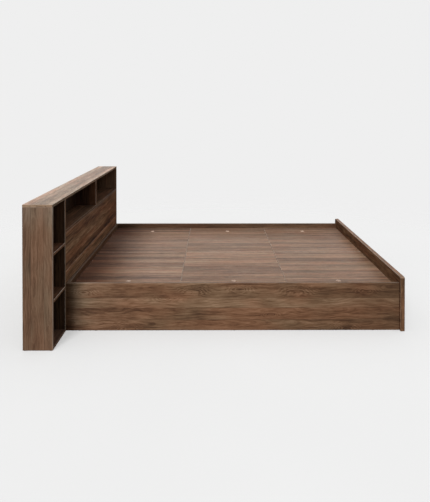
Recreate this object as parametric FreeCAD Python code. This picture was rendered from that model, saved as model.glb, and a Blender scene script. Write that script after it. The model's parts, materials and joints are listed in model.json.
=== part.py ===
import FreeCAD, Part
import math
import os
from FreeCAD import Rotation, Vector

# Storage bed with a cabinet headboard. Millimetres, +Z up, +X from head to foot.
# The origin is on the floor, under the middle of the whole bed.

# Boards
panel_thickness = 18.0
shelf_thickness = 16.0
back_thickness = 5.0
edge_ease = 1.2

# Deck, the sunk area that takes a 1500 by 2000 mattress
deck_length = 2004.0
deck_width = 1504.0
deck_recess = 38.0
rail_thickness = 18.0
rail_top = 290.0

# Footboard
footboard_thickness = 27.0
footboard_top = 330.0
footboard_corner = 13.0
footboard_ease = 2.0

# Headboard cabinet
headboard_depth = 168.0
headboard_top = 815.0
wing_cubby_width = 210.0
lower_cubby_height = 243.0
middle_cubby_height = 247.0
bed_cubby_height = 187.0
front_seam_height = 364.0
back_inset = 8.0
groove_depth = 6.0
groove_clearance = 0.3

# Lids over the storage
lid_thickness = 18.0
lid_clearance = 1.0
finger_hole_diameter = 28.0
finger_hole_inset = 125.0
finger_hole_ease = 1.5
bay_names = ("head", "middle", "foot")
bay_count = len(bay_names)

# Supports under the lids and in the storage
bearer_width = 60.0
bearer_thickness = 18.0
cleat_depth = 30.0
cleat_height = 30.0
batten_width = 45.0
batten_height = 20.0
base_thickness = 9.0
base_clearance = 0.3
batten_place_shares = (0.22, 0.78)

# Glides
glide_height = 2.0
glide_radius = 8.0
glide_end_share = 0.08

# Corner brackets
bracket_leg = 45.0
bracket_width = 32.0
bracket_thickness = 2.5
bracket_bend = 2.0
bracket_hole_share = 0.62
bracket_level_shares = (0.3, 0.6)

# Screws and bolts
screw_radius = 2.2
screw_head_radius = 4.6
screw_head_height = 2.6
screw_grip = 14.0
screw_clearance = 0.25
cleat_screw_shares = (0.15, 0.85)
bolt_radius = 4.0
bolt_head_radius = 9.0
bolt_head_height = 3.2
bolt_overrun = 4.0
bolt_clearance = 0.3
bolt_height = 150.0
bolt_place_shares = (0.12, 0.38, 0.62, 0.88)
nut_across_flats = 13.0
nut_height = 6.5
nut_sides = 6
crown_share = 0.4
point_share = 0.5

# Shares and turns used throughout
middle_share = 0.5
full_turn = 360.0
quarter_turn = full_turn / 4
pick_reach = 0.5
small_round_sides = 10

# Length along X
overall_length = headboard_depth + rail_thickness + deck_length + footboard_thickness
x_back = -overall_length / 2
x_front = x_back + headboard_depth
x_deck = x_front + rail_thickness
x_foot = x_deck + deck_length
x_end = x_foot + footboard_thickness

# Width along Y, the wing on the -Y side
wing_width = panel_thickness + wing_cubby_width + panel_thickness
bed_width = deck_width + 2 * rail_thickness
overall_width = wing_width + bed_width + panel_thickness
y_wing = -overall_width / 2
y_cubby = y_wing + panel_thickness
y_divider = y_cubby + wing_cubby_width
y_near = y_divider + panel_thickness
y_deck_near = y_near + rail_thickness
y_middle = y_deck_near + deck_width / 2
y_deck_far = y_deck_near + deck_width
y_far = y_deck_far + rail_thickness
y_end = y_far + panel_thickness

# Heights
z_foot = glide_height
z_bottom_board = z_foot + shelf_thickness
z_lower_shelf = z_bottom_board + lower_cubby_height
z_upper_shelf = z_lower_shelf + shelf_thickness + middle_cubby_height
z_top_board = headboard_top - shelf_thickness
z_cubby_floor = z_top_board - bed_cubby_height
z_deck = rail_top - deck_recess
z_bearing = z_deck - lid_thickness
z_partition = z_bearing - bearer_thickness
z_base = batten_height
z_storage = z_base + base_thickness

# Places inside the headboard
x_back_panel = x_back + back_inset
x_back_face = x_back_panel + back_thickness
x_front_rear = x_front - panel_thickness

parts = {}


def board(x_span, y_span, z_span, ease=edge_ease):
    size = [span[1] - span[0] for span in (x_span, y_span, z_span)]
    box = Part.makeBox(*size, Vector(x_span[0], y_span[0], z_span[0]))
    return box.makeChamfer(ease, box.Edges) if ease else box


def grown(shape, margin):
    box = shape.BoundBox
    low = Vector(box.XMin - margin, box.YMin - margin, box.ZMin - margin)
    size = [length + 2 * margin for length in (box.XLength, box.YLength, box.ZLength)]
    return Part.makeBox(*size, low)


def turned(shape, place, direction):
    moved = shape.copy()
    moved.Placement = FreeCAD.Placement(place, Rotation(Vector(0, 0, 1), direction))
    return moved


def between(low, high, share):
    return low + (high - low) * share


# Small round pieces are repeated many times, so they have a few flat sides
def prism(radius, low, high, sides=small_round_sides):
    turns = [Rotation(Vector(0, 0, 1), full_turn * k / sides) for k in range(sides + 1)]
    wire = Part.makePolygon([turn.multVec(Vector(radius, 0, low)) for turn in turns])
    return Part.Face(wire).extrude(Vector(0, 0, high - low))


def pilot(radius, length):
    return prism(radius, -length, 0)


# Fasteners stand on the origin: the head above the seat, the shank below it
def fastener(radius, head_radius, head_height, length):
    head = prism(head_radius, 0, head_height)
    crown = [edge for edge in head.Edges if edge.BoundBox.ZMin > head_height * middle_share]
    shank = prism(radius, -length, 0)
    point = [edge for edge in shank.Edges if edge.BoundBox.ZMax < -length * middle_share]
    head = head.makeChamfer(head_height * crown_share, crown)
    return head.fuse(shank.makeChamfer(radius * point_share, point))


def hex_nut():
    reach = nut_across_flats / 2 / math.cos(math.pi / nut_sides)
    bore = prism(bolt_radius + screw_clearance, 0, nut_height)
    return prism(reach, 0, nut_height, nut_sides).cut(bore)


# Headboard cabinet
def make_headboard():
    cabinet_x = (x_back, x_front)
    standing_z = (z_foot, z_top_board)
    wing_y = (y_cubby, y_divider)
    bed_y = (y_near, y_far)
    shelf_x = (x_back_face, x_front)

    back_z = (z_bottom_board - groove_depth, z_top_board + groove_depth)
    backs = {
        "wing_back_panel": (y_cubby - groove_depth, y_divider + groove_depth),
        "headboard_back_panel": (y_near - groove_depth, y_far + groove_depth),
    }
    for name, y_span in backs.items():
        parts[name] = board((x_back_panel, x_back_face), y_span, back_z, ease=0)
    grooves = [grown(parts[name], groove_clearance) for name in backs]

    grooved = {
        "headboard_top_board": (cabinet_x, (y_wing, y_end), (z_top_board, headboard_top)),
        "near_end_panel": (cabinet_x, (y_wing, y_cubby), standing_z),
        "wing_divider_panel": (cabinet_x, (y_divider, y_near), standing_z),
        "far_end_panel": (cabinet_x, (y_far, y_end), standing_z),
        "wing_bottom_board": (cabinet_x, wing_y, (z_foot, z_bottom_board)),
        "headboard_bottom_board": ((x_back, x_front_rear), bed_y, (z_foot, z_bottom_board)),
    }
    for name, spans in grooved.items():
        parts[name] = board(*spans).cut(grooves)

    parts["wing_lower_shelf"] = board(shelf_x, wing_y, (z_lower_shelf, z_lower_shelf + shelf_thickness))
    parts["wing_upper_shelf"] = board(shelf_x, wing_y, (z_upper_shelf, z_upper_shelf + shelf_thickness))

    floor_under = z_cubby_floor - shelf_thickness
    middle_y = (y_middle - panel_thickness / 2, y_middle + panel_thickness / 2)
    parts["bed_cubby_floor"] = board(shelf_x, bed_y, (floor_under, z_cubby_floor))
    parts["bed_cubby_divider"] = board(shelf_x, middle_y, (z_cubby_floor, z_top_board))
    upright_x = (x_back_face, x_front_rear)
    parts["headboard_inner_upright"] = board(upright_x, middle_y, (z_bottom_board, floor_under))
    parts["upper_front_panel"] = board((x_front_rear, x_front), bed_y, (front_seam_height, floor_under))
    parts["lower_front_panel"] = board((x_front_rear, x_front), bed_y, (z_foot, front_seam_height))


# Bed box
def make_box():
    rail_z = (z_foot, rail_top)
    parts["near_side_rail"] = board((x_front, x_foot), (y_near, y_deck_near), rail_z)
    parts["far_side_rail"] = board((x_front, x_foot), (y_deck_far, y_far), rail_z)
    parts["head_rail"] = board((x_front, x_deck), (y_deck_near, y_deck_far), rail_z)

    # The footboard's two top corners are round, and both of its faces have eased edges
    foot = board((x_foot, x_end), (y_divider, y_end), (z_foot, footboard_top), ease=0)
    foot = foot.makeFillet(footboard_corner, [edge for edge in foot.Edges if is_top_corner(edge)])
    outline = [edge for edge in foot.Edges if edge.BoundBox.XLength < pick_reach]
    parts["footboard"] = foot.makeChamfer(footboard_ease, outline)


def is_top_corner(edge):
    box = edge.BoundBox
    return footboard_top - box.ZMin < pick_reach and box.YLength < pick_reach


# Partitions, dividers, bearers and cleats. Bays run from head to foot.
def bay_span(index):
    bay = deck_length / bay_count
    return x_deck + bay * index, x_deck + bay * (index + 1)


def inner_span(index, half_width):
    low, high = bay_span(index)
    start = low if index == 0 else low + half_width
    end = high if index == bay_count - 1 else high - half_width
    return start, end


side_spans = {"near": (y_deck_near, y_middle), "far": (y_middle, y_deck_far)}


def make_supports():
    half = panel_thickness / 2
    flange = bearer_width / 2
    partition_z = (z_foot, z_partition)
    bearer_z = (z_partition, z_bearing)
    deck_y = (y_deck_near, y_deck_far)

    for index in range(1, bay_count):
        seam = bay_span(index)[0]
        parts["cross_partition_%d" % index] = board((seam - half, seam + half), deck_y, partition_z)
        parts["cross_bearer_%d" % index] = board((seam - flange, seam + flange), deck_y, bearer_z)

    for index, bay in enumerate(bay_names):
        wall_y = (y_middle - half, y_middle + half)
        flange_y = (y_middle - flange, y_middle + flange)
        parts["%s_bay_divider" % bay] = board(inner_span(index, half), wall_y, partition_z)
        parts["%s_bay_bearer" % bay] = board(inner_span(index, flange), flange_y, bearer_z)


def cleat_spans():
    cleat_z = (z_bearing - cleat_height, z_bearing)
    flange = bearer_width / 2
    sides = {
        "near": ((y_deck_near, y_deck_near + cleat_depth), Vector(0, 1, 0)),
        "far": ((y_deck_far - cleat_depth, y_deck_far), Vector(0, -1, 0)),
    }
    ends = {
        "head": ((x_deck, x_deck + cleat_depth), Vector(1, 0, 0)),
        "foot": ((x_foot - cleat_depth, x_foot), Vector(-1, 0, 0)),
    }
    rows = []
    for side, (y_span, inward) in sides.items():
        for index in range(bay_count):
            low, high = inner_span(index, flange)
            low += cleat_depth if index == 0 else 0
            high -= cleat_depth if index == bay_count - 1 else 0
            rows.append(("%s_rail_cleats" % side, (low, high), y_span, cleat_z, inward))
    for end, (x_span, inward) in ends.items():
        for y_span in ((y_deck_near, y_middle - flange), (y_middle + flange, y_deck_far)):
            rows.append(("%s_end_cleats" % end, x_span, y_span, cleat_z, inward))
    return rows


# A screw's place along one axis: on the face that looks inward, or spaced along the cleat
def face_place(span, inward, share):
    if inward:
        return span[1] if inward > 0 else span[0]
    return between(span[0], span[1], share)


def make_cleats():
    tool = pilot(screw_radius + screw_clearance, cleat_depth + screw_grip)
    length = cleat_depth + screw_grip - screw_clearance
    screw = fastener(screw_radius, screw_head_radius, screw_head_height, length)
    groups = {}
    screws = []
    holes = []
    for name, x_span, y_span, z_span, inward in cleat_spans():
        places = []
        for share in cleat_screw_shares:
            x = face_place(x_span, inward.x, share)
            y = face_place(y_span, inward.y, share)
            places.append(Vector(x, y, (z_span[0] + z_span[1]) / 2))
        tools = [turned(tool, place, inward) for place in places]
        groups.setdefault(name, []).append(board(x_span, y_span, z_span).cut(tools))
        screws += [turned(screw, place, inward) for place in places]
        holes += tools
    for name, solids in groups.items():
        parts[name] = Part.makeCompound(solids)
    parts["cleat_screws"] = Part.makeCompound(screws)
    return holes


# Corner brackets, one pair in each corner of the box
def bracket():
    reach = bracket_leg
    skin = bracket_thickness
    outline = [(0, 0), (reach, 0), (reach, skin), (skin, skin), (skin, reach), (0, reach), (0, 0)]
    wire = Part.makePolygon([Vector(x, y, -bracket_width / 2) for x, y in outline])
    angle = Part.Face(wire).extrude(Vector(0, 0, bracket_width))
    bend = [edge for edge in angle.Edges if is_inner_bend(edge)]
    angle = angle.makeFillet(bracket_bend, bend)
    drill = pilot(screw_radius + screw_clearance, skin)
    return angle.cut([turned(drill, place, way) for place, way in bracket_holes()])


def is_inner_bend(edge):
    box = edge.BoundBox
    on_corner = abs(box.XMin - bracket_thickness) + abs(box.YMin - bracket_thickness) < pick_reach
    return on_corner and box.ZLength > bracket_width / 2


def bracket_holes():
    out = bracket_leg * bracket_hole_share
    return (
        (Vector(out, bracket_thickness, 0), Vector(0, 1, 0)),
        (Vector(bracket_thickness, out, 0), Vector(1, 0, 0)),
    )


def make_brackets():
    corners = (
        (x_deck, y_deck_near),
        (x_foot, y_deck_near),
        (x_foot, y_deck_far),
        (x_deck, y_deck_far),
    )
    reach = bracket_thickness + screw_grip
    tool = pilot(screw_radius + screw_clearance, reach)
    screw = fastener(screw_radius, screw_head_radius, screw_head_height, reach - screw_clearance)
    plain = bracket()
    brackets = []
    screws = []
    holes = []
    for turns, (x, y) in enumerate(corners):
        facing = Rotation(Vector(0, 0, 1), quarter_turn * turns)
        for share in bracket_level_shares:
            placed = FreeCAD.Placement(Vector(x, y, rail_top * share), facing)
            copy = plain.copy()
            copy.Placement = placed
            brackets.append(copy)
            for place, way in bracket_holes():
                spot = placed.multVec(place)
                heading = placed.Rotation.multVec(way)
                screws.append(turned(screw, spot, heading))
                holes.append(turned(tool, spot, heading))
    parts["corner_brackets"] = Part.makeCompound(brackets)
    parts["bracket_screws"] = Part.makeCompound(screws)
    return holes


# Bolts from the head rail through the lower front panel
def make_bolts():
    grip = rail_thickness + panel_thickness
    length = grip + nut_height + bolt_overrun
    bolt = fastener(bolt_radius, bolt_head_radius, bolt_head_height, length)
    tool = pilot(bolt_radius + bolt_clearance, grip)
    nut = hex_nut()
    heading = Vector(1, 0, 0)
    places = [between(y_deck_near, y_deck_far, share) for share in bolt_place_shares]
    seats = [Vector(x_deck, y, bolt_height) for y in places]
    parts["headboard_bolts"] = Part.makeCompound([turned(bolt, seat, heading) for seat in seats])
    rear = Vector(-grip - nut_height, 0, 0)
    parts["headboard_nuts"] = Part.makeCompound([turned(nut, seat + rear, heading) for seat in seats])
    return [turned(tool, seat, heading) for seat in seats]


# Base panels on floor battens, and the lids above them
def make_compartments():
    half = panel_thickness / 2
    battens = []
    for index, bay in enumerate(bay_names):
        x_span = inner_span(index, half)
        for side, (low, high) in side_spans.items():
            y_span = (low + base_clearance, high - half - base_clearance)
            if side == "far":
                y_span = (low + half + base_clearance, high - base_clearance)
            base_x = (x_span[0] + base_clearance, x_span[1] - base_clearance)
            parts["%s_%s_base_panel" % (side, bay)] = board(base_x, y_span, (z_base, z_storage), ease=0)
            for share in batten_place_shares:
                middle = between(base_x[0], base_x[1], share)
                batten_x = (middle - batten_width / 2, middle + batten_width / 2)
                battens.append(board(batten_x, y_span, (0, z_base)))
            parts["%s_%s_lid" % (side, bay)] = lid(index, side, low, high)
    parts["floor_battens"] = Part.makeCompound(battens)


def lid(index, side, low, high):
    x_low, x_high = bay_span(index)
    spans = [(start + lid_clearance, end - lid_clearance) for start, end in ((x_low, x_high), (low, high))]
    plain = board(*spans, (z_bearing, z_deck))
    hole_y = low + finger_hole_inset if side == "near" else high - finger_hole_inset
    centre = Vector((x_low + x_high) / 2, hole_y, z_bearing)
    bored = plain.cut(Part.makeCylinder(finger_hole_diameter / 2, lid_thickness, centre))
    rims = [edge for edge in bored.Edges if edge.Curve.TypeId == "Part::GeomCircle"]
    return bored.makeChamfer(finger_hole_ease, rims)


# Glides under the standing boards
def glide_rows():
    half = panel_thickness / 2
    seams = [bay_span(index)[0] for index in range(1, bay_count)]
    cabinet = (x_back, x_front)
    box = (x_deck, x_foot)
    inner = (y_deck_near, y_deck_far)
    ends = (glide_end_share, 1 - glide_end_share)
    three = (glide_end_share, middle_share, 1 - glide_end_share)
    rows = [(box, y, three) for y in (y_near + rail_thickness / 2, y_far - rail_thickness / 2)]
    rows += [(cabinet, y, ends) for y in (y_wing + half, y_divider + half, y_far + half)]
    rows += [(x, inner, ends) for x in seams]
    rows += [(x, inner, three) for x in (x_foot + footboard_thickness / 2, x_front_rear + half)]
    return rows


def make_glides():
    foot = prism(glide_radius, 0, glide_height)
    glides = []
    for x, y, shares in glide_rows():
        for share in shares:
            place_x = between(x[0], x[1], share) if isinstance(x, tuple) else x
            place_y = between(y[0], y[1], share) if isinstance(y, tuple) else y
            glides.append(turned(foot, Vector(place_x, place_y, 0), Vector(0, 0, 1)))
    parts["floor_glides"] = Part.makeCompound(glides)


def drill_boards(names, holes):
    for name in names:
        parts[name] = parts[name].cut(holes)


make_headboard()
make_box()
make_supports()
make_compartments()
make_glides()
side_holes = make_cleats() + make_brackets()
drill_boards(("near_side_rail", "far_side_rail", "head_rail", "footboard"), side_holes)
drill_boards(("head_rail", "lower_front_panel"), make_bolts())

os.makedirs("parts", exist_ok=True)
for name, shape in parts.items():
    shape.exportStep("parts/%s.step" % name)
    print(name, len(shape.Solids), "solids", shape.isValid(), round(shape.Volume / 1000), "cm3")
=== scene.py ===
import json
import math
import random

import bmesh
import bpy
from mathutils import Matrix, Vector


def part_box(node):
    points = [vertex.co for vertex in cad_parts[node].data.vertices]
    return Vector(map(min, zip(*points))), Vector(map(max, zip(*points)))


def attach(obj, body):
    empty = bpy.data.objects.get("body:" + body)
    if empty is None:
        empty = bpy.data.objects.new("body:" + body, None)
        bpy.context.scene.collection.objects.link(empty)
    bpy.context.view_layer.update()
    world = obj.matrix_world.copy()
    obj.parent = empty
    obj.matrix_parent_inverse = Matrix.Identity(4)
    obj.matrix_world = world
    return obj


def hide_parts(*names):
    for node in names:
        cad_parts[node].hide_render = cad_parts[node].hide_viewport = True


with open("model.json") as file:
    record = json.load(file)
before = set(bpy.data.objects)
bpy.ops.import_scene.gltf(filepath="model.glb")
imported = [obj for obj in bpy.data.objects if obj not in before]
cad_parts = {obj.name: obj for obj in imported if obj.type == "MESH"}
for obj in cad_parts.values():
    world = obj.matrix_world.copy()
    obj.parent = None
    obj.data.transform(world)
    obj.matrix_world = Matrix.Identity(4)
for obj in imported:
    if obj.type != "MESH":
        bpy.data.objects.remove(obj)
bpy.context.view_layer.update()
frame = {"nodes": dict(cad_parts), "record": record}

# Storage bed in walnut-look laminate: boards keep their CAD shape and get their finish here,
# and the small steel and plastic parts are made again with their fine shapes.

scene = bpy.context.scene
nodes = frame["nodes"]
axisVectors = {"X": Vector((1, 0, 0)), "Y": Vector((0, 1, 0)), "Z": Vector((0, 0, 1))}

print("frame loaded,", len(nodes), "nodes")


# Node helpers

def fill(tree, node, values):  # links the sockets among the values and sets the others
    for key, value in values.items():
        if isinstance(value, bpy.types.NodeSocket):
            tree.links.new(value, node.inputs[key])
        else:
            node.inputs[key].default_value = value


def put(tree, kind, values, **settings):
    node = tree.nodes.new(kind)
    for name, value in settings.items():
        setattr(node, name, value)
    fill(tree, node, values)
    return node


def calc(tree, operation, *values):
    return put(tree, "ShaderNodeMath", dict(enumerate(values)), operation=operation).outputs[0]


def plus(tree, value, part, share):  # adds a share of another value
    return calc(tree, "ADD", value, calc(tree, "MULTIPLY", part, share))


def vectorCalc(tree, operation, *values):
    return put(tree, "ShaderNodeVectorMath", dict(enumerate(values)), operation=operation).outputs


def ranged(tree, value, fromMin, fromMax, toMin, toMax):  # eased between the two ends
    values = {0: value, 1: fromMin, 2: fromMax, 3: toMin, 4: toMax}
    return put(tree, "ShaderNodeMapRange", values, interpolation_type="SMOOTHSTEP").outputs[0]


def pick(tree, factor, first, second):  # a number between two
    return put(tree, "ShaderNodeMix", {0: factor, 2: first, 3: second}, data_type="FLOAT").outputs[0]


def opaque(color):
    return (*color, 1.0) if isinstance(color, tuple) else color


def tint(tree, factor, first, second, blend="MIX"):
    values = {0: factor, 6: opaque(first), 7: opaque(second)}
    return put(tree, "ShaderNodeMix", values, data_type="RGBA", blend_type=blend).outputs[2]


def joined(tree, x, y, z):
    return put(tree, "ShaderNodeCombineXYZ", {0: x, 1: y, 2: z}).outputs[0]


def split(tree, vector):
    return put(tree, "ShaderNodeSeparateXYZ", {0: vector}).outputs


def splitColor(tree, color):
    return put(tree, "ShaderNodeSeparateColor", {0: color}).outputs


def stretched(tree, point, rates):  # a point with its own rate along each axis
    return joined(tree, *[calc(tree, "MULTIPLY", value, rate) for value, rate in zip(point, rates)])


def noise(tree, point, rates, detail, roughness=0.5):
    values = {"Vector": stretched(tree, point, rates), "Scale": 1.0, "Detail": detail,
              "Roughness": roughness}
    return put(tree, "ShaderNodeTexNoise", values).outputs["Fac"]


def ramp(tree, factor, stops, interpolation="LINEAR"):
    node = put(tree, "ShaderNodeValToRGB", {0: factor})
    node.color_ramp.interpolation = interpolation
    elements = node.color_ramp.elements
    while len(elements) < len(stops):
        elements.new(1.0)
    for element, (position, color) in zip(elements, stops):
        element.position = position
        element.color = opaque(color)
    return node.outputs[0]


def newGroup(name, inputs, outputs):
    tree = bpy.data.node_groups.new(name, "ShaderNodeTree")
    for label, kind in inputs:
        tree.interface.new_socket(label, in_out="INPUT", socket_type="NodeSocket" + kind)
    for label, kind in outputs:
        tree.interface.new_socket(label, in_out="OUTPUT", socket_type="NodeSocket" + kind)
    return tree, tree.nodes.new("NodeGroupInput").outputs, tree.nodes.new("NodeGroupOutput")


def use(tree, group, **values):
    node = tree.nodes.new("ShaderNodeGroup")
    node.node_tree = group
    fill(tree, node, values)
    return node.outputs


# Shared effects: walnut film, knots, chipboard, softwood, edge wear with painted highlight, and dust with
# painted sheen.
# A noise is its rates along each axis, its detail and, where it isn't plain, its roughness.

walnut = {
    "stops": (
        (0.10, (0.024, 0.012, 0.007)),
        (0.36, (0.086, 0.044, 0.024)),
        (0.54, (0.152, 0.085, 0.047)),
        (0.74, (0.225, 0.134, 0.080)),
        (0.95, (0.320, 0.206, 0.132)),
    ),
    "middle": 0.54,  # where a plain board lies on the stops
    "warm": (1.08, 0.94, 0.90),
    "cool": (0.97, 1.00, 1.00),
    "hueRange": (0.36, 0.64),
    "bend": ((3.2, 9, 9), 3),
    "band": ((1.1, 16, 16), 3),
    "streak": ((2.4, 125, 125), 5, 0.72),
    "mottle": ((6.5, 30, 30), 4, 0.6),
    "pore": ((15, 850, 850), 1),
    "cloud": ((1.7, 7, 7), 2),
    "wave": ((2.6, 10, 10), 2),
    "bendDepth": 0.034,
    "shiftAlong": 9,  # how far a strip's own shift moves its pattern
    "shiftAcross": 3,
    "stripShare": 0.22,
    "bandShare": 0.40,
    "streakShare": 0.66,
    "mottleShare": 0.34,
    "figureShare": 0.036,
    "poreShare": 0.10,
    "poreRange": (0.58, 0.70),
    "poreDepth": 6,
    "coreShare": 0.11,
    "endStrip": (0.4, 0.4, 0.2),  # tone, shift and figure of an end band
    "endFacing": 0.75,
    "edgeFacing": 0.5,
    "edgePale": (0.30, 0.20, 0.13),
    "edgePaleShare": 0.10,
    "roughRange": (0.3, 0.7, 0.58, 0.48),
}

growthLines = {
    "arch": 3200,
    "straight": 55,
    "slope": 12,
    "wave": 6,
    "knot": 4,
    "fine": 2.65,
    "fineShare": 0.5,
    "besideKnot": 1.6,  # how much stronger the lines are round a knot
}


def makeWalnutFilm():
    inputs = [("Place", "Vector"), ("Facing", "Vector"), ("Strip", "Color"), ("Offset", "Float"),
              ("Pull", "Float"), ("Core", "Float"), ("Seed", "Float"), ("Contrast", "Float"),
              ("Tone", "Float"), ("EdgeTone", "Float")]
    outputs = [("Color", "Color"), ("Roughness", "Float"), ("Height", "Float")]
    tree, given, result = newGroup("walnutFilm", inputs, outputs)
    x, y, z = split(tree, given["Place"])
    toward = split(tree, vectorCalc(tree, "ABSOLUTE", given["Facing"])[0])

    onEnd = calc(tree, "GREATER_THAN", toward[0], walnut["endFacing"])  # an end band runs across the board
    along = pick(tree, onEnd, x, y)
    across = pick(tree, onEnd, y, x)
    offset = pick(tree, onEnd, given["Offset"], 0.0)
    tone, shift, figure = splitColor(tree, tint(tree, onEnd, given["Strip"], walnut["endStrip"]))

    run = plus(tree, along, shift, walnut["shiftAlong"])
    run = calc(tree, "ADD", run, given["Seed"])
    level = plus(tree, across, shift, walnut["shiftAcross"])
    level = plus(tree, level, noise(tree, (run, level, z), *walnut["bend"]), walnut["bendDepth"])
    point = (run, level, z)
    streak = noise(tree, point, *walnut["streak"])

    # Growth lines: arches in some strips, straight in others, drawn round each knot
    squared = calc(tree, "MULTIPLY", offset, offset)
    line = calc(tree, "MULTIPLY", squared, calc(tree, "MULTIPLY", figure, growthLines["arch"]))
    line = plus(tree, line, offset, growthLines["straight"])
    slope = growthLines["slope"]
    lean = calc(tree, "SUBTRACT", calc(tree, "MULTIPLY", shift, slope), slope / 2)
    line = plus(tree, line, run, lean)
    line = plus(tree, line, noise(tree, point, *walnut["wave"]), growthLines["wave"])
    line = plus(tree, line, given["Pull"], growthLines["knot"])
    growth = calc(tree, "SINE", calc(tree, "MULTIPLY", line, 2 * math.pi))
    fineGrowth = calc(tree, "SINE", calc(tree, "MULTIPLY", line, 2 * math.pi * growthLines["fine"]))
    growth = plus(tree, growth, fineGrowth, growthLines["fineShare"])
    growth = calc(tree, "MULTIPLY", growth, plus(tree, 1.0, given["Pull"], growthLines["besideKnot"]))

    value = calc(tree, "MULTIPLY", calc(tree, "SUBTRACT", tone, 0.5), walnut["stripShare"])
    parts = ((noise(tree, point, *walnut["band"]), walnut["bandShare"]), (streak, walnut["streakShare"]),
             (noise(tree, point, *walnut["mottle"]), walnut["mottleShare"]))
    for part, share in parts:
        value = plus(tree, value, calc(tree, "SUBTRACT", part, 0.5), share)
    value = plus(tree, value, growth, walnut["figureShare"])
    edge = calc(tree, "LESS_THAN", toward[2], walnut["edgeFacing"])
    boardTone = pick(tree, edge, given["Tone"], given["EdgeTone"])
    value = calc(tree, "ADD", calc(tree, "MULTIPLY", value, given["Contrast"]), boardTone)
    pores = ranged(tree, noise(tree, point, *walnut["pore"]), *walnut["poreRange"], 0, walnut["poreShare"])
    value = calc(tree, "SUBTRACT", value, pores)
    value = calc(tree, "SUBTRACT", value, calc(tree, "MULTIPLY", given["Core"], walnut["coreShare"]))

    hue = ranged(tree, noise(tree, point, *walnut["cloud"]), *walnut["hueRange"], 0, 1)
    color = tint(tree, 1.0, ramp(tree, value, walnut["stops"]),
                 tint(tree, hue, walnut["warm"], walnut["cool"]), "MULTIPLY")
    pale = calc(tree, "MULTIPLY", edge, walnut["edgePaleShare"])  # the edge bands are a little paler
    fill(tree, result, {
        "Color": tint(tree, pale, color, walnut["edgePale"]),
        "Roughness": ranged(tree, streak, *walnut["roughRange"]),
        "Height": calc(tree, "SUBTRACT", streak, calc(tree, "MULTIPLY", pores, walnut["poreDepth"])),
    })
    return tree


knotLook = {
    "length": 3.2,  # how much longer along the grain
    "rough": ((30, 90, 90), 2),
    "roughShare": 0.9,
    "pullRange": (0.2, 3.2, 1, 0),
    "coreRange": (0.3, 1.3, 1, 0),
}


def makeKnotMark():  # one knot at a chosen place
    tree, given, result = newGroup(
        "knotMark",
        [("Place", "Vector"), ("Center", "Vector"), ("Size", "Float")],
        [("Pull", "Float"), ("Core", "Float")])
    x, y, z = split(tree, vectorCalc(tree, "SUBTRACT", given["Place"], given["Center"])[0])
    along = calc(tree, "DIVIDE", x, knotLook["length"])
    alongSquare = calc(tree, "POWER", calc(tree, "ABSOLUTE", along), 2)
    acrossSquare = calc(tree, "POWER", calc(tree, "ABSOLUTE", y), 2)
    reach = calc(tree, "SQRT", calc(tree, "ADD", alongSquare, acrossSquare))
    reach = calc(tree, "DIVIDE", reach, given["Size"])
    rough = noise(tree, (x, y, z), *knotLook["rough"])
    reach = plus(tree, reach, calc(tree, "SUBTRACT", rough, 0.5), knotLook["roughShare"])
    fill(tree, result, {
        "Pull": ranged(tree, reach, *knotLook["pullRange"]),
        "Core": ranged(tree, reach, *knotLook["coreRange"]),
    })
    return tree


wearAndHighlightLook = {
    "slopeBelow": 0.93,  # a face counts as an arris when it looks less than this along every axis
    "endRange": (0.2, 0.5),  # how far along the grain an end's arris looks
    "breaks": ((24, 24, 24), 3),
    "breakRange": (0.35, 0.6, 0.55, 1),
}


def makeEdgeWearAndHighlight():  # pale arrises: wear and painted highlight on the small slopes along the arrises
    tree, given, result = newGroup(
        "edgeWearAndHighlight",
        [("Place", "Vector"), ("Facing", "Vector"), ("Amount", "Float"), ("Ends", "Float")],
        [("Mask", "Float")])
    x, y, z = split(tree, vectorCalc(tree, "ABSOLUTE", given["Facing"])[0])
    largest = calc(tree, "MAXIMUM", calc(tree, "MAXIMUM", x, y), z)
    slope = calc(tree, "LESS_THAN", largest, wearAndHighlightLook["slopeBelow"])
    slope = calc(tree, "MULTIPLY", slope, ranged(tree, x, *wearAndHighlightLook["endRange"], 1, given["Ends"]))
    breaks = noise(tree, split(tree, given["Place"]), *wearAndHighlightLook["breaks"])
    slope = calc(tree, "MULTIPLY", slope, ranged(tree, breaks, *wearAndHighlightLook["breakRange"]))
    fill(tree, result, {"Mask": calc(tree, "MULTIPLY", slope, given["Amount"])})
    return tree


upRange = (0.5, 0.95)  # how far up a face looks before it counts as a top
dustAndSheenLook = {"patches": ((3.5, 3.5, 3.5), 4), "patchRange": (0.3, 0.75, 0.4, 1)}


def makeDustAndSheen():  # dust and painted sheen: a thin pale veil on what faces up, thicker in patches
    tree, given, result = newGroup(
        "dustAndSheen",
        [("Place", "Vector"), ("Up", "Float"), ("Amount", "Float")],
        [("Mask", "Float")])
    patches = noise(tree, split(tree, given["Place"]), *dustAndSheenLook["patches"])
    patches = ranged(tree, patches, *dustAndSheenLook["patchRange"])
    veil = calc(tree, "MULTIPLY", ranged(tree, given["Up"], *upRange, 0, 1), patches)
    fill(tree, result, {"Mask": calc(tree, "MULTIPLY", veil, given["Amount"])})
    return tree


chipLook = {
    "flakes": (260, 260, 620),
    "flakeShare": 0.6,
    "fine": ((900, 900, 1400), 3),
    "fineShare": 0.4,
    "stops": ((0.1, (0.28, 0.18, 0.12)), (0.45, (0.46, 0.33, 0.25)), (0.9, (0.64, 0.50, 0.41))),
}


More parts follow.
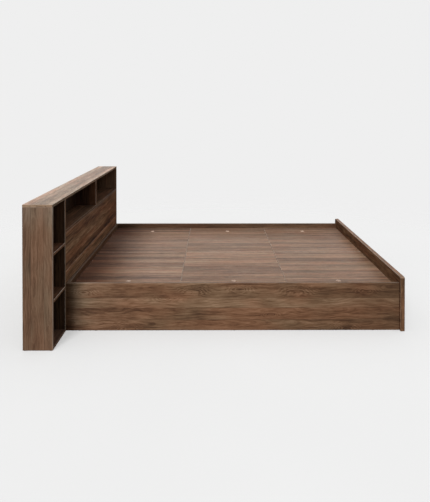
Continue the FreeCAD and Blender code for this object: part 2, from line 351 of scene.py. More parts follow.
def makeChipboard():  # raw cut face: pale flakes of a few millimetres
    tree, given, result = newGroup(
        "chipboard", [("Place", "Vector")], [("Color", "Color"), ("Height", "Float")])
    point = split(tree, given["Place"])
    flakes = put(tree, "ShaderNodeTexVoronoi",
                 {"Vector": stretched(tree, point, chipLook["flakes"]), "Scale": 1.0})
    tone = splitColor(tree, flakes.outputs["Color"])[0]
    value = calc(tree, "MULTIPLY", tone, chipLook["flakeShare"])
    value = plus(tree, value, noise(tree, point, *chipLook["fine"]), chipLook["fineShare"])
    fill(tree, result, {"Color": ramp(tree, value, chipLook["stops"]), "Height": value})
    return tree


pineLook = {
    "wave": ((1.6, 9, 9), 2),
    "waveShare": 10,
    "linesAcross": 150,
    "linesThrough": 110,
    "lineShape": 3,
    "lineShare": 0.55,
    "fiber": ((6, 700, 700), 3),
    "fiberShare": 0.5,
    "stops": ((0.15, (0.66, 0.47, 0.29)), (0.5, (0.56, 0.36, 0.19)), (0.95, (0.36, 0.19, 0.08))),
    "seedStep": 1.7,
    "rough": 0.62,
    "bump": {"Distance": 0.0004, "Strength": 0.4},
}


def makeSoftwood():  # planed pine: pale, with tan growth lines
    tree, given, result = newGroup(
        "softwood", [("Place", "Vector"), ("Seed", "Float")], [("Color", "Color"), ("Height", "Float")])
    x, y, z = split(tree, given["Place"])
    point = (calc(tree, "ADD", x, given["Seed"]), y, z)
    line = plus(tree, calc(tree, "MULTIPLY", y, pineLook["linesAcross"]), z, pineLook["linesThrough"])
    line = plus(tree, line, noise(tree, point, *pineLook["wave"]), pineLook["waveShare"])
    growth = calc(tree, "POWER", calc(tree, "FRACT", line), pineLook["lineShape"])
    fiber = noise(tree, point, *pineLook["fiber"])
    value = plus(tree, calc(tree, "MULTIPLY", growth, pineLook["lineShare"]), fiber, pineLook["fiberShare"])
    fill(tree, result, {"Color": ramp(tree, value, pineLook["stops"]), "Height": fiber})
    return tree


walnutFilm = makeWalnutFilm()
knotMark = makeKnotMark()
edgeWearAndHighlight = makeEdgeWearAndHighlight()
dustAndSheen = makeDustAndSheen()
chipboard = makeChipboard()
softwood = makeSoftwood()
print("shared effects made")


# Materials

def newMaterial(name):
    material = bpy.data.materials.new(name)
    material.use_nodes = True
    tree = material.node_tree
    return material, tree, tree.nodes["Principled BSDF"]


def textureCoordinates(tree):
    return put(tree, "ShaderNodeTexCoord", {}).outputs


def objectPoint(tree):
    return split(tree, textureCoordinates(tree)["Object"])


def bumped(tree, height, bump):
    return put(tree, "ShaderNodeBump", {"Height": height, **bump}).outputs[0]


def boardFrame(grain, face):  # the turn that makes the grain X and the broad face look along Z
    along = axisVectors[grain]
    out = axisVectors[face]
    return Matrix((along, out.cross(along), out))


def toBoard(tree, vector, grain, face, kind="POINT"):  # from object axes to the board's own
    values = {0: vector, "Rotation": boardFrame(grain, face).to_euler()}
    return put(tree, "ShaderNodeMapping", values, vector_type=kind).outputs[0]


def boardSpans(node, grain, face):  # from end to end along the grain, and from edge to edge
    turn = boardFrame(grain, face)
    corners = [turn @ Vector(corner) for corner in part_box(node)]
    return [sorted(corner[k] for corner in corners) for k in range(2)]


stripLook = {
    "spread": (0.65, 1.35),
    "least": 0.4,  # a last strip narrower than this joins the one before it
    "seam": (0.0004, 0.0022),
    "seamShare": 0.35,
    "rampSteps": 255,  # Blender samples a colour ramp at this many places
}


def randomStrips(seed, width, mean):
    draw = random.Random(seed)
    strips = []
    left = width
    while left > 0:
        strip = mean * draw.uniform(*stripLook["spread"])
        strips.append((min(strip, left), draw.random(), draw.random(), draw.random()))
        left -= strip
    if len(strips) > 1 and strips[-1][0] < mean * stripLook["least"]:
        last = strips.pop()
        strips[-1] = (strips[-1][0] + last[0], *strips[-1][1:])
    return strips


def stripNodes(tree, across, low, high, strips):  # strips: width, tone, shift and figure of each
    span = high - low
    steps = stripLook["rampSteps"]
    level = calc(tree, "DIVIDE", calc(tree, "SUBTRACT", across, low), span)
    looks = []
    middles = []
    start = 0.0
    for width, tone, shift, figure in strips:
        share = width / span
        stop = max(0.0, (round(start * steps) - 0.5) / steps)
        looks.append((stop, (tone, shift, figure)))
        middles.append((stop, (start + share / 2, share / 2, 0.0)))
        start += share
    strip = ramp(tree, level, looks, "CONSTANT")
    middle, half = splitColor(tree, ramp(tree, level, middles, "CONSTANT"))[:2]
    fromMiddle = calc(tree, "SUBTRACT", level, middle)
    offset = calc(tree, "MULTIPLY", fromMiddle, span)
    toEdge = calc(tree, "MULTIPLY", calc(tree, "SUBTRACT", half, calc(tree, "ABSOLUTE", fromMiddle)), span)
    seam = ranged(tree, toEdge, *stripLook["seam"], 1, 0)
    return strip, offset, seam


randomKnotLook = {"seedStep": 500, "size": (0.005, 0.010), "most": 6}


def randomKnots(seed, spans, rate):  # place along, place across and size of each
    draw = random.Random(seed + randomKnotLook["seedStep"])
    (start, end), (low, high) = spans
    length, width = end - start, high - low
    count = min(round(length * width * rate), randomKnotLook["most"])
    return [(start + length * draw.random(), low + width * draw.random(),
             draw.uniform(*randomKnotLook["size"])) for k in range(count)]


def addKnots(tree, place, knots):
    pull = core = 0.0
    for along, across, size in knots:
        mark = use(tree, knotMark, Place=place, Center=(along, across, 0), Size=size)
        pull = calc(tree, "MAXIMUM", pull, mark["Pull"])
        core = calc(tree, "MAXIMUM", core, mark["Core"])
    return pull, core


fingerHole = {"radius": 0.014, "ease": 0.0018}
holeCenters = {}
for opening in frame["record"]["physics"]["openings"]:
    if opening["name"].endswith("_finger_hole"):
        low, high = opening["box_m"]
        lid = opening["name"].replace("_finger_hole", "_lid")
        holeCenters[lid] = ((low[0] + high[0]) / 2, (low[1] + high[1]) / 2)


def holeMask(tree, place, center):  # one inside the bored hole and on its eased rim
    flat = vectorCalc(tree, "MULTIPLY", place, (1, 1, 0))[0]
    gap = vectorCalc(tree, "DISTANCE", flat, (*center, 0))["Value"]
    return calc(tree, "LESS_THAN", gap, fingerHole["radius"] + fingerHole["ease"])


boardLook = {  # what a board has unless its own row says otherwise
    "tone": 0.0,
    "contrast": 1.0,
    "stripWidth": 0.072,
    "seamColor": (0.03, 0.018, 0.012),
    "grainRates": (1, 1, 1),
    "knotRate": 5,  # knots to the square metre
    "wearAndHighlight": 0.18,
    "endWearAndHighlight": 0.3,
    "dustAndSheen": 0.05,
    "gloss": 0.15,
    "upRough": -0.04,
    "shades": (),
}

surfaceLook = {
    "wearAndHighlightColor": (0.62, 0.53, 0.45),
    "dustAndSheenColor": (0.55, 0.52, 0.49),
    "shadeRough": 0.3,  # how much rougher the print is where a shade is full
    "sideRough": 0.28,
    "upRoughRange": (0.3, 0.8),
    "rawRough": 0.85,
    "bump": {"Distance": 0.0003, "Strength": 0.35},
}


def walnutMaterial(node, look):
    look = {**boardLook, **look}
    material, tree, shader = newMaterial("walnut_" + node)
    lie = look["grain"], look["face"]
    coordinates = textureCoordinates(tree)
    place = toBoard(tree, coordinates["Object"], *lie)
    facing = toBoard(tree, coordinates["Normal"], *lie, "VECTOR")
    alongAndAcross = split(tree, place)
    up = split(tree, coordinates["Normal"])[2]
    spans = boardSpans(node, *lie)
    low, high = spans[1]
    strips = look.get("strips") or randomStrips(look["seed"], high - low, look["stripWidth"])
    strip, offset, seam = stripNodes(tree, alongAndAcross[1], low, high, strips)
    knots = look.get("knots") or randomKnots(look["seed"], spans, look["knotRate"])
    pull, core = addKnots(tree, place, knots)
    film = use(tree, walnutFilm, Place=vectorCalc(tree, "MULTIPLY", place, look["grainRates"])[0],
               Facing=facing, Strip=strip, Offset=offset, Pull=pull, Core=core,
               Seed=float(look["seed"]), Contrast=look["contrast"],
               Tone=walnut["middle"] + look["tone"],
               EdgeTone=walnut["middle"] + look.get("edgeTone", look["tone"]))
    rough = film["Roughness"]
    height = film["Height"]

    seam = calc(tree, "MULTIPLY", seam, stripLook["seamShare"])
    color = tint(tree, seam, film["Color"], look["seamColor"])
    if "shade" in look:
        color = tint(tree, 1.0, color, look["shade"], "MULTIPLY")
    # painted light: faces that look up are lightened
    if "topPaintedLight" in look:
        color = tint(tree, ranged(tree, up, *upRange, 0, 1), color, look["topPaintedLight"], "MULTIPLY")
    for axis, end, depth, shade in look["shades"]:  # painted shade and painted light: the colour darkens or pales towards an end
        full = spans[axis][end]
        none = full - depth if end else full + depth
        reach = ranged(tree, alongAndAcross[axis], full, none, 1, 0)
        color = tint(tree, reach, color, shade, "MULTIPLY")
        rough = plus(tree, rough, reach, surfaceLook["shadeRough"])

    # pale arrises: wear and painted highlight
    wearAndHighlight = use(tree, edgeWearAndHighlight, Place=place, Facing=facing, Amount=look["wearAndHighlight"], Ends=look["endWearAndHighlight"])
    color = tint(tree, wearAndHighlight["Mask"], color, surfaceLook["wearAndHighlightColor"])
    # dust, with painted sheen on faces that look up
    veil = use(tree, dustAndSheen, Place=place, Up=up, Amount=look["dustAndSheen"])
    color = tint(tree, veil["Mask"], color, surfaceLook["dustAndSheenColor"])
    onTop = ranged(tree, up, *surfaceLook["upRoughRange"], surfaceLook["sideRough"], look["upRough"])
    rough = calc(tree, "ADD", rough, onTop)

    if node in holeCenters:  # the bored wall shows the raw board
        inHole = holeMask(tree, coordinates["Object"], holeCenters[node])
        raw = use(tree, chipboard, Place=coordinates["Object"])
        # painted light and shade: the raw wall is dimmed in near lids and brightened in far lids
        rawColor = tint(tree, 1.0, raw["Color"], look["holeWallLightAndShade"], "MULTIPLY")
        color = tint(tree, inHole, color, rawColor)
        rough = pick(tree, inHole, rough, surfaceLook["rawRough"])
        height = pick(tree, inHole, height, raw["Height"])

    fill(tree, shader, {"Base Color": color, "Roughness": rough, "Specular IOR Level": look["gloss"],
                        "Normal": bumped(tree, height, surfaceLook["bump"])})
    return material


def dressNode(name, material):
    slots = nodes[name].data.materials
    slots.clear()
    slots.append(material)
    for materialSlot in nodes[name].material_slots:
        materialSlot.material = material


# The way each kind of board lies
flatBoard = {"grain": "Y", "face": "Z"}
sidePanel = {"grain": "Z", "face": "Y"}
longBoard = {"grain": "X", "face": "Y"}
crossBoard = {"grain": "Y", "face": "X"}

# Painted shade and painted light, each a colour gradient towards one end: along or across the grain, low or
# high end, depth, color
# painted shade on the lids next to the headboard
headShade = (0, 0, 0.46, (0.48, 0.33, 0.26))
# painted shade on the lids along the far rail
farShade = (1, 1, 0.50, (0.70, 0.66, 0.64))
# painted shade towards the far end of the front panels
frontShade = (0, 1, 0.9, (0.80, 0.70, 0.64))

# painted shade: darker tone and shade for the shelves inside the shaded cubbies
wingShelf = {
    **flatBoard, "tone": -0.24, "edgeTone": 0.35, "shade": (0.74, 0.62, 0.58), "dustAndSheen": 0.01,
    "gloss": 0.05, "upRough": 0.3, "wearAndHighlight": 0.9,
}
frontPanel = {
    **crossBoard, "contrast": 2.1, "stripWidth": 0.05, "gloss": 0.08, "shade": (1.08, 1.0, 0.91),
    "shades": (frontShade,),
}
lidLook = {
    "grain": "X", "face": "Z", "tone": 0.06, "contrast": 1.35, "stripWidth": 0.028,
    "seamColor": (0.34, 0.26, 0.21), "grainRates": (2.2, 2.3, 2.3), "knotRate": 9,
    "gloss": 0.08, "upRough": -0.16, "wearAndHighlight": 0.5, "endWearAndHighlight": 1.25,
}
# the hole wall's multiply is painted shade in the near lids and painted light in the far lids
nearLid = {**lidLook, "tone": 0.08, "holeWallLightAndShade": (0.86, 0.86, 0.89)}
farLid = {**lidLook, "shades": (farShade,), "holeWallLightAndShade": (1.22, 1.23, 1.27)}
# paler seam ends on the head lids: wear and painted highlight
headLid = {"contrast": 1.6, "endWearAndHighlight": 1.9}

boards = {
    # painted light and painted sheen: tone and shade lighten and grey the whole board
    "headboard_top_board": {
        **flatBoard, "seed": 3, "tone": 0.19, "edgeTone": 0.05, "contrast": 2.1, "stripWidth": 0.045,
        "grainRates": (2.2, 2.2, 2.2), "shade": (1.40, 1.56, 1.72), "dustAndSheen": 0.03, "upRough": -0.18,
        "wearAndHighlight": 0.95,
    },
    "near_end_panel": {
        **sidePanel, "seed": 5, "tone": -0.01, "edgeTone": 0.2, "contrast": 0.85,
        "grainRates": (1.5, 0.8, 0.8), "shade": (0.91, 1.00, 1.09), "wearAndHighlight": 0.5,
        # painted light towards the top and the foot-side edge, painted shade at the head-side edge
        "shades": ((0, 1, 0.15, (1.30, 1.46, 1.62)), (1, 1, 0.10, (1.16, 1.18, 1.22)),
                   (1, 0, 0.08, (0.92, 0.94, 0.97))),
        "strips": ((0.046, 0.50, 0.21, 0.10), (0.074, 0.40, 0.57, 0.60), (0.048, 0.60, 0.74, 0.10)),
    },
    # painted shade: a dark tone for the divider seen deep in the shaded cubbies
    "wing_divider_panel": {
        **sidePanel, "seed": 8, "tone": -0.32, "edgeTone": 0.25, "gloss": 0.05, "wearAndHighlight": 0.7,
    },
    "far_end_panel": {**sidePanel, "seed": 11},
    # painted shade: a dark tone for the shaded cubby bottom
    "wing_bottom_board": {
        **flatBoard, "seed": 13, "tone": -0.30, "edgeTone": 0.0, "gloss": 0.05, "upRough": 0.3,
    },
    "wing_lower_shelf": {**wingShelf, "seed": 17},
    "wing_upper_shelf": {**wingShelf, "seed": 19},
    "headboard_bottom_board": {**flatBoard, "seed": 23},
    # painted shade: a darker tone for the shaded cubby floor
    "bed_cubby_floor": {
        **flatBoard, "seed": 29, "tone": -0.16, "edgeTone": 0.0, "contrast": 1.3, "gloss": 0.05,
        "dustAndSheen": 0.01,
    },
    # painted shade: a darker tone for the divider inside the shaded cubby
    "bed_cubby_divider": {
        **sidePanel, "seed": 31, "tone": -0.22, "edgeTone": 0.25, "gloss": 0.05, "wearAndHighlight": 0.7,
    },
    "headboard_inner_upright": {**sidePanel, "seed": 37},
    "upper_front_panel": {**frontPanel, "seed": 41},
    "lower_front_panel": {**frontPanel, "seed": 43},
    "near_side_rail": {
        **longBoard, "seed": 47, "contrast": 1.45, "grainRates": (1.5, 0.8, 0.8),
        "shade": (1.00, 0.99, 0.97),
        # painted shadow beside the wing, painted light over the head half, painted shade towards the foot
        # end
        "shades": ((0, 0, 0.06, (0.5, 0.38, 0.28)), (0, 0, 0.6, (1.11, 1.24, 1.36)),
                   (0, 1, 1.1, (0.76, 0.74, 0.73))),
        "strips": ((0.092, 0.55, 0.31, 0.55), (0.058, 0.80, 0.62, 0.10), (0.073, 0.44, 0.48, 0.15),
                   (0.065, 0.38, 0.83, 0.70)),
        "knots": ((-0.820, -0.240, 0.011), (-0.350, -0.208, 0.013), (-0.160, -0.246, 0.014),
                  (0.110, -0.252, 0.011), (0.460, -0.242, 0.015), (0.880, -0.246, 0.010),
                  (-0.560, -0.022, 0.012), (0.760, -0.024, 0.012), (0.300, -0.100, 0.008)),
    },
    # painted shade: a darker tone for the shaded inner face, with a lighter top edge
    "far_side_rail": {
        **longBoard, "seed": 53, "tone": -0.12, "edgeTone": 0.05,
        "strips": ((0.046, 0.0, 0.44, 0.10), (0.066, 0.5, 0.12, 0.40), (0.058, 0.8, 0.65, 0.10),
                   (0.074, 0.3, 0.38, 0.30), (0.044, 0.6, 0.93, 0.20)),
    },
    # painted shade: a darker tone for the rail in the headboard's shade
    "head_rail": {**crossBoard, "seed": 59, "tone": -0.24, "gloss": 0.05, "upRough": 0.3, "wearAndHighlight": 0.24},
    # painted shade: a darker tone for the shaded inner face, with painted light lifting its top
    "footboard": {
        **crossBoard, "seed": 61, "tone": -0.15, "edgeTone": -0.13, "contrast": 1.5,
        "grainRates": (1.8, 1.4, 1.4), "shade": (1.0, 0.95, 0.88), "topPaintedLight": (1.6, 1.48, 1.40),
        "gloss": 0.04, "upRough": -0.2, "wearAndHighlight": 0.4,
        "strips": ((0.070, 0.50, 0.30, 0.40), (0.060, 0.70, 0.60, 0.20), (0.075, 0.40, 0.15, 0.60),
                   (0.062, 0.60, 0.85, 0.20), (0.061, 0.50, 0.47, 0.30)),
    },
    "cross_partition_1": {**crossBoard, "seed": 67},
    "cross_partition_2": {**crossBoard, "seed": 71},
    "head_bay_divider": {**longBoard, "seed": 73},
    "middle_bay_divider": {**longBoard, "seed": 79},
    "foot_bay_divider": {**longBoard, "seed": 83},
    "near_head_lid": {**nearLid, **headLid, "seed": 89, "shades": (headShade,)},
    "near_middle_lid": {**nearLid, "seed": 97},
    "near_foot_lid": {**nearLid, "seed": 101, "tone": 0.05},
    "far_head_lid": {**farLid, **headLid, "seed": 103, "shades": (headShade, farShade)},
    "far_middle_lid": {**farLid, "seed": 107},
    "far_foot_lid": {**farLid, "seed": 109, "tone": 0.03},
}

for name, look in boards.items():
    dressNode(name, walnutMaterial(name, look))
print("walnut boards dressed,", len(boards))


def softwoodMaterial(name, grain, seed):
    material, tree, shader = newMaterial(name)
    place = toBoard(tree, textureCoordinates(tree)["Object"], grain, "Z")
    wood = use(tree, softwood, Place=place, Seed=seed)
    fill(tree, shader, {"Base Color": wood["Color"], "Roughness": pineLook["rough"],
                        "Normal": bumped(tree, wood["Height"], pineLook["bump"])})
    return material


softwoodAlong = {
    "cross_bearer_1": "Y", "cross_bearer_2": "Y",
    "head_bay_bearer": "X", "middle_bay_bearer": "X", "foot_bay_bearer": "X",
    "near_rail_cleats": "X", "far_rail_cleats": "X",
    "head_end_cleats": "Y", "foot_end_cleats": "Y", "floor_battens": "Y",
}
for index, (name, grain) in enumerate(softwoodAlong.items()):
    dressNode(name, softwoodMaterial("softwood_" + name, grain, index * pineLook["seedStep"]))


hardboardLook = {
    "fiber": ((260, 260, 260), 5, 0.7),
    "fiberShare": 0.6,
    "patch": ((5, 5, 5), 3),
    "patchShare": 0.4,
    "stops": ((0.3, (0.15, 0.085, 0.045)), (0.5, (0.26, 0.16, 0.09)), (0.7, (0.38, 0.26, 0.16))),
    "rough": 0.75,
    "gloss": 0.3,
    "bump": {"Distance": 0.0003, "Strength": 0.4},
}

printedLook = {  # the back boards: walnut print in front, pressed mesh behind
    "strip": (0.4, 0.3, 0.2),
    "seed": 7.0,
    "contrast": 0.8,
    # painted shade: the print is made very dark for the deep cubbies
    "tone": -0.38,
    "frontFacing": 0.5,
    "frontRough": 0.5,
    "rearRough": 0.8,
    "gloss": 0.05,
    "meshLines": 600,
}


def hardboardFace(tree, point):  # smooth brown board: its color and its height
    fiber = noise(tree, point, *hardboardLook["fiber"])
    value = calc(tree, "MULTIPLY", fiber, hardboardLook["fiberShare"])
    value = plus(tree, value, noise(tree, point, *hardboardLook["patch"]), hardboardLook["patchShare"])
    return ramp(tree, value, hardboardLook["stops"]), fiber


def plainHardboard(name):
    material, tree, shader = newMaterial(name)
    color, height = hardboardFace(tree, objectPoint(tree))
    fill(tree, shader, {"Base Color": color, "Roughness": hardboardLook["rough"],
                        "Specular IOR Level": hardboardLook["gloss"],
                        "Normal": bumped(tree, height, hardboardLook["bump"])})
    return material


def printedHardboard(name):
    look = printedLook
    material, tree, shader = newMaterial(name)
    coordinates = textureCoordinates(tree)
    point = split(tree, coordinates["Object"])
    rearColor = hardboardFace(tree, point)[0]
    film = use(tree, walnutFilm, Place=toBoard(tree, coordinates["Object"], "Z", "X"), Facing=(0, 0, 1),
               Strip=opaque(look["strip"]), Offset=0.0, Pull=0.0, Core=0.0, Seed=look["seed"],
               Contrast=look["contrast"], Tone=walnut["middle"] + look["tone"], EdgeTone=walnut["middle"])
    front = calc(tree, "GREATER_THAN", split(tree, coordinates["Normal"])[0], look["frontFacing"])
    turns = 2 * math.pi * look["meshLines"]
    weave = [calc(tree, "ABSOLUTE", calc(tree, "SINE", calc(tree, "MULTIPLY", value, turns)))
             for value in point[1:]]
    height = pick(tree, front, calc(tree, "MULTIPLY", *weave), film["Height"])
    fill(tree, shader, {"Base Color": tint(tree, front, rearColor, film["Color"]),
                        "Roughness": pick(tree, front, look["rearRough"], look["frontRough"]),
                        "Specular IOR Level": look["gloss"],
                        "Normal": bumped(tree, height, hardboardLook["bump"])})
    return material


backBoard = printedHardboard("printed_back_board")
baseBoard = plainHardboard("plain_base_board")
for name in ("wing_back_panel", "headboard_back_panel"):
    dressNode(name, backBoard)
for name in nodes:
    if name.endswith("_base_panel"):
        dressNode(name, baseBoard)


zincLook = {
    "spangle": ((420, 420, 420), 3),
    "stops": ((0.3, (0.46, 0.47, 0.49)), (0.7, (0.68, 0.69, 0.71))),
    "scratch": ((2600, 300, 300), 2),
    "roughRange": (0.3, 0.7, 0.26, 0.44),
}


def zincMaterial(name):
    material, tree, shader = newMaterial(name)
    point = objectPoint(tree)
    spangle = noise(tree, point, *zincLook["spangle"])
    scratch = noise(tree, point, *zincLook["scratch"])
    fill(tree, shader, {"Base Color": ramp(tree, spangle, zincLook["stops"]), "Metallic": 1.0,
                        "Roughness": ranged(tree, scratch, *zincLook["roughRange"])})
    return material


plasticLook = {
    "grit": ((900, 900, 900), 4),
    "stops": ((0.3, (0.035, 0.028, 0.022)), (0.7, (0.060, 0.048, 0.038))),
    "roughRange": (0.3, 0.7, 0.45, 0.6),
    "bump": {"Distance": 0.0001, "Strength": 0.3},
}


def plasticMaterial(name):
    material, tree, shader = newMaterial(name)
    grit = noise(tree, objectPoint(tree), *plasticLook["grit"])
    fill(tree, shader, {"Base Color": ramp(tree, grit, plasticLook["stops"]),
                        "Roughness": ranged(tree, grit, *plasticLook["roughRange"]),
                        "Normal": bumped(tree, grit, plasticLook["bump"])})
    return material


zinc = zincMaterial("zinc_steel")
glidePlastic = plasticMaterial("glide_plastic")
dressNode("corner_brackets", zinc)
print("timber, board and metal dressed")


# Small steel and plastic pieces, made again with their fine shapes

meshLook = {
    "mergeDistance": 1e-6,
    "endDistance": 1e-5,  # a point this near to a piece's end lies on it
    "sharpAngle": 38,
}
hexSides = 6


def toMesh(bm, name):
    mesh = bpy.data.meshes.new(name)
    bm.to_mesh(mesh)
    bm.free()
    return mesh


def spun(name, profile, steps):  # profile: radius and height of each point, from one end to the other
    bm = bmesh.new()
    points = [bm.verts.new((radius, 0, height)) for radius, height in profile]
    for first, second in zip(points, points[1:]):
        bm.edges.new((first, second))
    bmesh.ops.spin(bm, geom=bm.verts[:] + bm.edges[:], cent=(0, 0, 0), axis=(0, 0, 1), dvec=(0, 0, 0),
                   angle=2 * math.pi, steps=steps, use_merge=True)
    bmesh.ops.remove_doubles(bm, verts=bm.verts, dist=meshLook["mergeDistance"])
    bmesh.ops.recalc_face_normals(bm, faces=bm.faces)
    return toMesh(bm, name)


def column(name, sides, radius, length):  # a plain bar to cut with
    bm = bmesh.new()
    bmesh.ops.create_cone(bm, cap_ends=True, segments=sides, radius1=radius, radius2=radius, depth=length)
    return toMesh(bm, name)


def carved(blank, cutters):
    body = bpy.data.objects.new("blank", blank)
    scene.collection.objects.link(body)
    tools = []
    for cutter in cutters:
        tool = bpy.data.objects.new("cutter", cutter)
        scene.collection.objects.link(tool)
        cut = body.modifiers.new("cut", "BOOLEAN")
        cut.object = tool
        cut.operation = "DIFFERENCE"
        cut.solver = "EXACT"
        tools.append(tool)
    mesh = bpy.data.meshes.new_from_object(body.evaluated_get(bpy.context.evaluated_depsgraph_get()))
    for used in (body, *tools):
        bpy.data.objects.remove(used)
    return mesh


def boxCorners(points):  # the lowest and the highest corner round some points
    return [Vector([end(point[k] for point in points) for k in range(3)]) for end in (min, max)]


def islands(node):  # the points of each separate solid
    bm = bmesh.new()
    bm.from_mesh(nodes[node].data)
    bmesh.ops.remove_doubles(bm, verts=bm.verts, dist=meshLook["mergeDistance"])
    left = set(bm.verts)
    found = []
    while left:
        group = [left.pop()]
        for vert in group:
            for edge in vert.link_edges:
                other = edge.other_vert(vert)
                if other in left:
                    left.remove(other)
                    group.append(other)
        found.append([vert.co.copy() for vert in group])
    bm.free()
    return found


def headFrame(points):  # a frame at the head's top, with its Z looking out of the head, and the length
    low, high = boxCorners(points)
    size = high - low
    axis = max(range(3), key=lambda k: size[k])
    middle = (low + high) / 2
    widths = {}
    for sign, end in ((-1, low), (1, high)):
        near = [point for point in points if abs(point[axis] - end[axis]) < meshLook["endDistance"]]
        widths[sign] = max((point - middle).length for point in near)
    sign = max(widths, key=widths.get)
    out = Vector((0, 0, 0))
    out[axis] = sign
    place = middle.copy()
    place[axis] = (high if sign > 0 else low)[axis]
    turn = out.to_track_quat("Z", "Y").to_matrix().to_4x4()
    return Matrix.Translation(place) @ turn, size[axis]


def headFrames(node):  # the frame of each fastener in a node, and their length
    frames, lengths = zip(*[headFrame(points) for points in islands(node)])
    return frames, lengths[0]


def copyPiece(name, node, template, frames, material):
    bm = bmesh.new()
    for place in frames:
        copy = template.copy()
        copy.transform(place)
        bm.from_mesh(copy)
        bpy.data.meshes.remove(copy)
    mesh = toMesh(bm, name)
    mesh.shade_smooth()
    mesh.set_sharp_from_angle(angle=math.radians(meshLook["sharpAngle"]))
    mesh.materials.append(material)
    piece = bpy.data.objects.new(name, mesh)
    scene.collection.objects.link(piece)
    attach(piece, "bed")
    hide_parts(node)


woodScrew = {
    "head": ((0.0, 0.0), (0.0021, -0.0001), (0.0035, -0.0006), (0.0043, -0.0014), (0.0046, -0.0022),
             (0.0046, -0.0026)),
    "shank": 0.0022,
    "root": 0.0016,
    "pitch": 0.003,
    "point": 0.004,
    "recess": (0.0046, 0.0009, 0.0014),  # length, width and depth of each arm of the cross
    "recessTaper": 0.6,
    "steps": 24,
}


def makeScrews(name, node):
    frames, length = headFrames(node)
    look = woodScrew
    profile = [*look["head"], (look["shank"], look["head"][-1][1])]
    height = profile[-1][1] - look["pitch"]
    while height > look["point"] - length:
        profile += [(look["shank"], height), (look["root"], height - look["pitch"] / 2)]
        height -= look["pitch"]
    profile.append((0.0, -length))
    long, wide, deep = look["recess"]
    arms = []
    for size in ((long, wide), (wide, long)):
        bm = bmesh.new()
        bmesh.ops.create_cube(bm, size=1.0, matrix=Matrix.Diagonal((*size, 2 * deep, 1)))
        floor = [vert for vert in bm.verts if vert.co.z < 0]
        bmesh.ops.scale(bm, vec=(look["recessTaper"], look["recessTaper"], 1), verts=floor)
        arms.append(toMesh(bm, "arm"))
    screw = carved(spun(name, profile, look["steps"]), arms)
    copyPiece(name, node, screw, frames, zinc)


domeBolt = {
    "head": ((0.0, 0.0), (0.0032, -0.0001), (0.0058, -0.0006), (0.0077, -0.0014), (0.0087, -0.0023),
             (0.009, -0.0029), (0.009, -0.0032)),
    "shank": 0.004,
    "tip": 0.0015,
    "socket": (0.0029, 0.0022),  # radius and depth
    "steps": 32,
}


def makeBolts():
    frames, length = headFrames("headboard_bolts")
    look = domeBolt
    shank, tip = look["shank"], look["tip"]
    profile = [*look["head"], (shank, look["head"][-1][1]), (shank, tip - length), (shank - tip, -length),
               (0.0, -length)]
    radius, deep = look["socket"]
    socket = column("socket", hexSides, radius, 2 * deep)
    bolt = carved(spun("headboardBolts", profile, look["steps"]), [socket])
    copyPiece("headboardBolts", "headboard_bolts", bolt, frames, zinc)


hexNut = {"acrossFlats": 0.013, "bore": 0.0042, "boreSteps": 32, "bevel": 0.0006, "bevelSteps": 2}


def makeNuts():
    found = [boxCorners(points) for points in islands("headboard_nuts")]
    size = found[0][1] - found[0][0]
    bm = bmesh.new()
    reach = hexNut["acrossFlats"] / 2 / math.cos(math.pi / hexSides)
    bmesh.ops.create_cone(bm, cap_ends=True, segments=hexSides, radius1=reach, radius2=reach, depth=size.x)
    rims = [edge for edge in bm.edges
            if abs(edge.verts[0].co.z - edge.verts[1].co.z) < meshLook["mergeDistance"]]
    bmesh.ops.bevel(bm, geom=rims, offset=hexNut["bevel"], affect="EDGES", segments=hexNut["bevelSteps"],
                    profile=0.5, material=-1)
    bore = column("bore", hexNut["boreSteps"], hexNut["bore"], size.x * 2)
    nut = carved(toMesh(bm, "headboardNuts"), [bore])
    turn = Matrix.Rotation(math.pi / 2, 4, "Y")
    if size.y > size.z:
        turn = turn @ Matrix.Rotation(math.pi / 2, 4, "Z")
    frames = [Matrix.Translation((low + high) / 2) @ turn for low, high in found]
    copyPiece("headboardNuts", "headboard_nuts", nut, frames, zinc)


floorGlide = {
    "profile": ((0.0, 0.0005), (0.0022, 0.0005), (0.0027, 0.0), (0.0066, 0.0), (0.0075, 0.0003),
                (0.008, 0.0009), (0.008, 0.002), (0.0, 0.002)),
    "steps": 36,
}


def makeGlides():
    frames = []
    for points in islands("floor_glides"):
        low, high = boxCorners(points)
        middle = (low + high) / 2
        frames.append(Matrix.Translation((middle.x, middle.y, low.z)))
    glide = spun("floorGlides", floorGlide["profile"], floorGlide["steps"])
    copyPiece("floorGlides", "floor_glides", glide, frames, glidePlastic)


makeScrews("cleatScrews", "cleat_screws")
makeScrews("bracketScrews", "bracket_screws")
makeBolts()
makeNuts()
makeGlides()
print("screws, bolts, nuts and glides made")


# Floor, light and camera

stageLook = {
    "floorSize": 24.0,
    "floorStops": ((0.3, (0.67, 0.67, 0.67)), (0.7, (0.69, 0.69, 0.69))),
    "floorRough": 0.9,
    "floorBounce": (0.12, 0.12, 0.12),  # the floor's color as the bed is lit by it
    "backdrop": (0.863, 0.863, 0.863),
    "fade": (2.2, 4.2),  # between these distances the floor melts into the backdrop
    "shadowLift": 0.5,  # how clear the floor is near the bed, which lightens the shadow
}


def seenRays(tree):  # one for what the camera sees, itself or through gloss and glass
    rays = put(tree, "ShaderNodeLightPath", {}).outputs
    seen = calc(tree, "MAXIMUM", rays["Is Camera Ray"], rays["Is Glossy Ray"])
    return calc(tree, "MAXIMUM", seen, rays["Is Transmission Ray"])


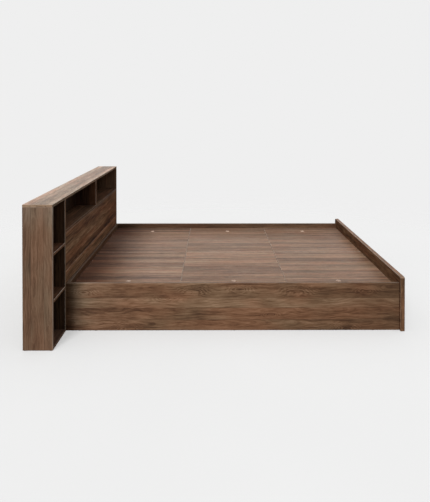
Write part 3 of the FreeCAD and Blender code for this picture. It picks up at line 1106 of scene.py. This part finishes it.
def makeFloor():
    bm = bmesh.new()
    bmesh.ops.create_grid(bm, x_segments=1, y_segments=1, size=stageLook["floorSize"] / 2)
    mesh = toMesh(bm, "floor")
    floor = bpy.data.objects.new("floor", mesh)
    scene.collection.objects.link(floor)
    material, tree, shader = newMaterial("pale_floor")
    seen = seenRays(tree)
    place = textureCoordinates(tree)["Object"]
    distance = vectorCalc(tree, "LENGTH", place)["Value"]
    away = ranged(tree, distance, *stageLook["fade"], stageLook["shadowLift"], 1)
    pale = ramp(tree, noise(tree, split(tree, place), (1, 1, 1), 3), stageLook["floorStops"])
    fill(tree, shader, {"Base Color": tint(tree, seen, stageLook["floorBounce"], pale),
                        "Roughness": stageLook["floorRough"], "Specular IOR Level": 0.0})
    clear = put(tree, "ShaderNodeBsdfTransparent", {})
    mixed = put(tree, "ShaderNodeMixShader",
                {0: calc(tree, "MULTIPLY", away, seen), 1: shader.outputs[0], 2: clear.outputs[0]})
    fill(tree, tree.nodes["Material Output"], {"Surface": mixed.outputs[0]})
    mesh.materials.append(material)


roomLight = {
    "skyLow": 0.15,
    "skyHigh": 1.1,
    "lampStrength": 2.6,
    "lampTilt": 55,
    "lampTurn": -18,
    "lampSpread": 18,
}


def makeWorld():
    world = bpy.data.worlds.new("studio")
    world.use_nodes = True
    tree = world.node_tree
    height = split(tree, textureCoordinates(tree)["Generated"])[2]
    sky = ranged(tree, height, 0.0, 1.0, roomLight["skyLow"], roomLight["skyHigh"])
    color = tint(tree, seenRays(tree), joined(tree, sky, sky, sky), stageLook["backdrop"])
    fill(tree, tree.nodes["Background"], {"Color": color, "Strength": 1.0})
    scene.world = world


def makeLamp():  # one soft lamp high up, a little left of the camera
    light = bpy.data.lights.new("studioLamp", "SUN")
    light.energy = roomLight["lampStrength"]
    light.angle = math.radians(roomLight["lampSpread"])
    lamp = bpy.data.objects.new("studioLamp", light)
    lamp.rotation_euler = (math.radians(roomLight["lampTilt"]), 0, math.radians(roomLight["lampTurn"]))
    scene.collection.objects.link(lamp)


photoCamera = {
    "longSide": 502,  # pixels
    "focalPixels": 487.16,
    "place": (-0.0529, -3.5981, 1.3458),
    "pitch": 0.618,
    "yaw": 0.231,
    "shiftPixels": (0.46, -136.93),
    "sensor": 36.0,
}


def makeCamera():
    data = bpy.data.cameras.new("photoCamera")
    data.sensor_width = photoCamera["sensor"]
    data.lens = photoCamera["focalPixels"] / photoCamera["longSide"] * photoCamera["sensor"]
    data.shift_x, data.shift_y = [pixels / photoCamera["longSide"] for pixels in photoCamera["shiftPixels"]]
    camera = bpy.data.objects.new("photoCamera", data)
    camera.location = photoCamera["place"]
    camera.rotation_euler = (math.radians(90 - photoCamera["pitch"]), 0, math.radians(-photoCamera["yaw"]))
    scene.collection.objects.link(camera)
    bpy.context.scene.camera = camera


makeFloor()
makeWorld()
makeLamp()
makeCamera()
scene.view_settings.view_transform = "Standard"
print("stage, light and camera set")
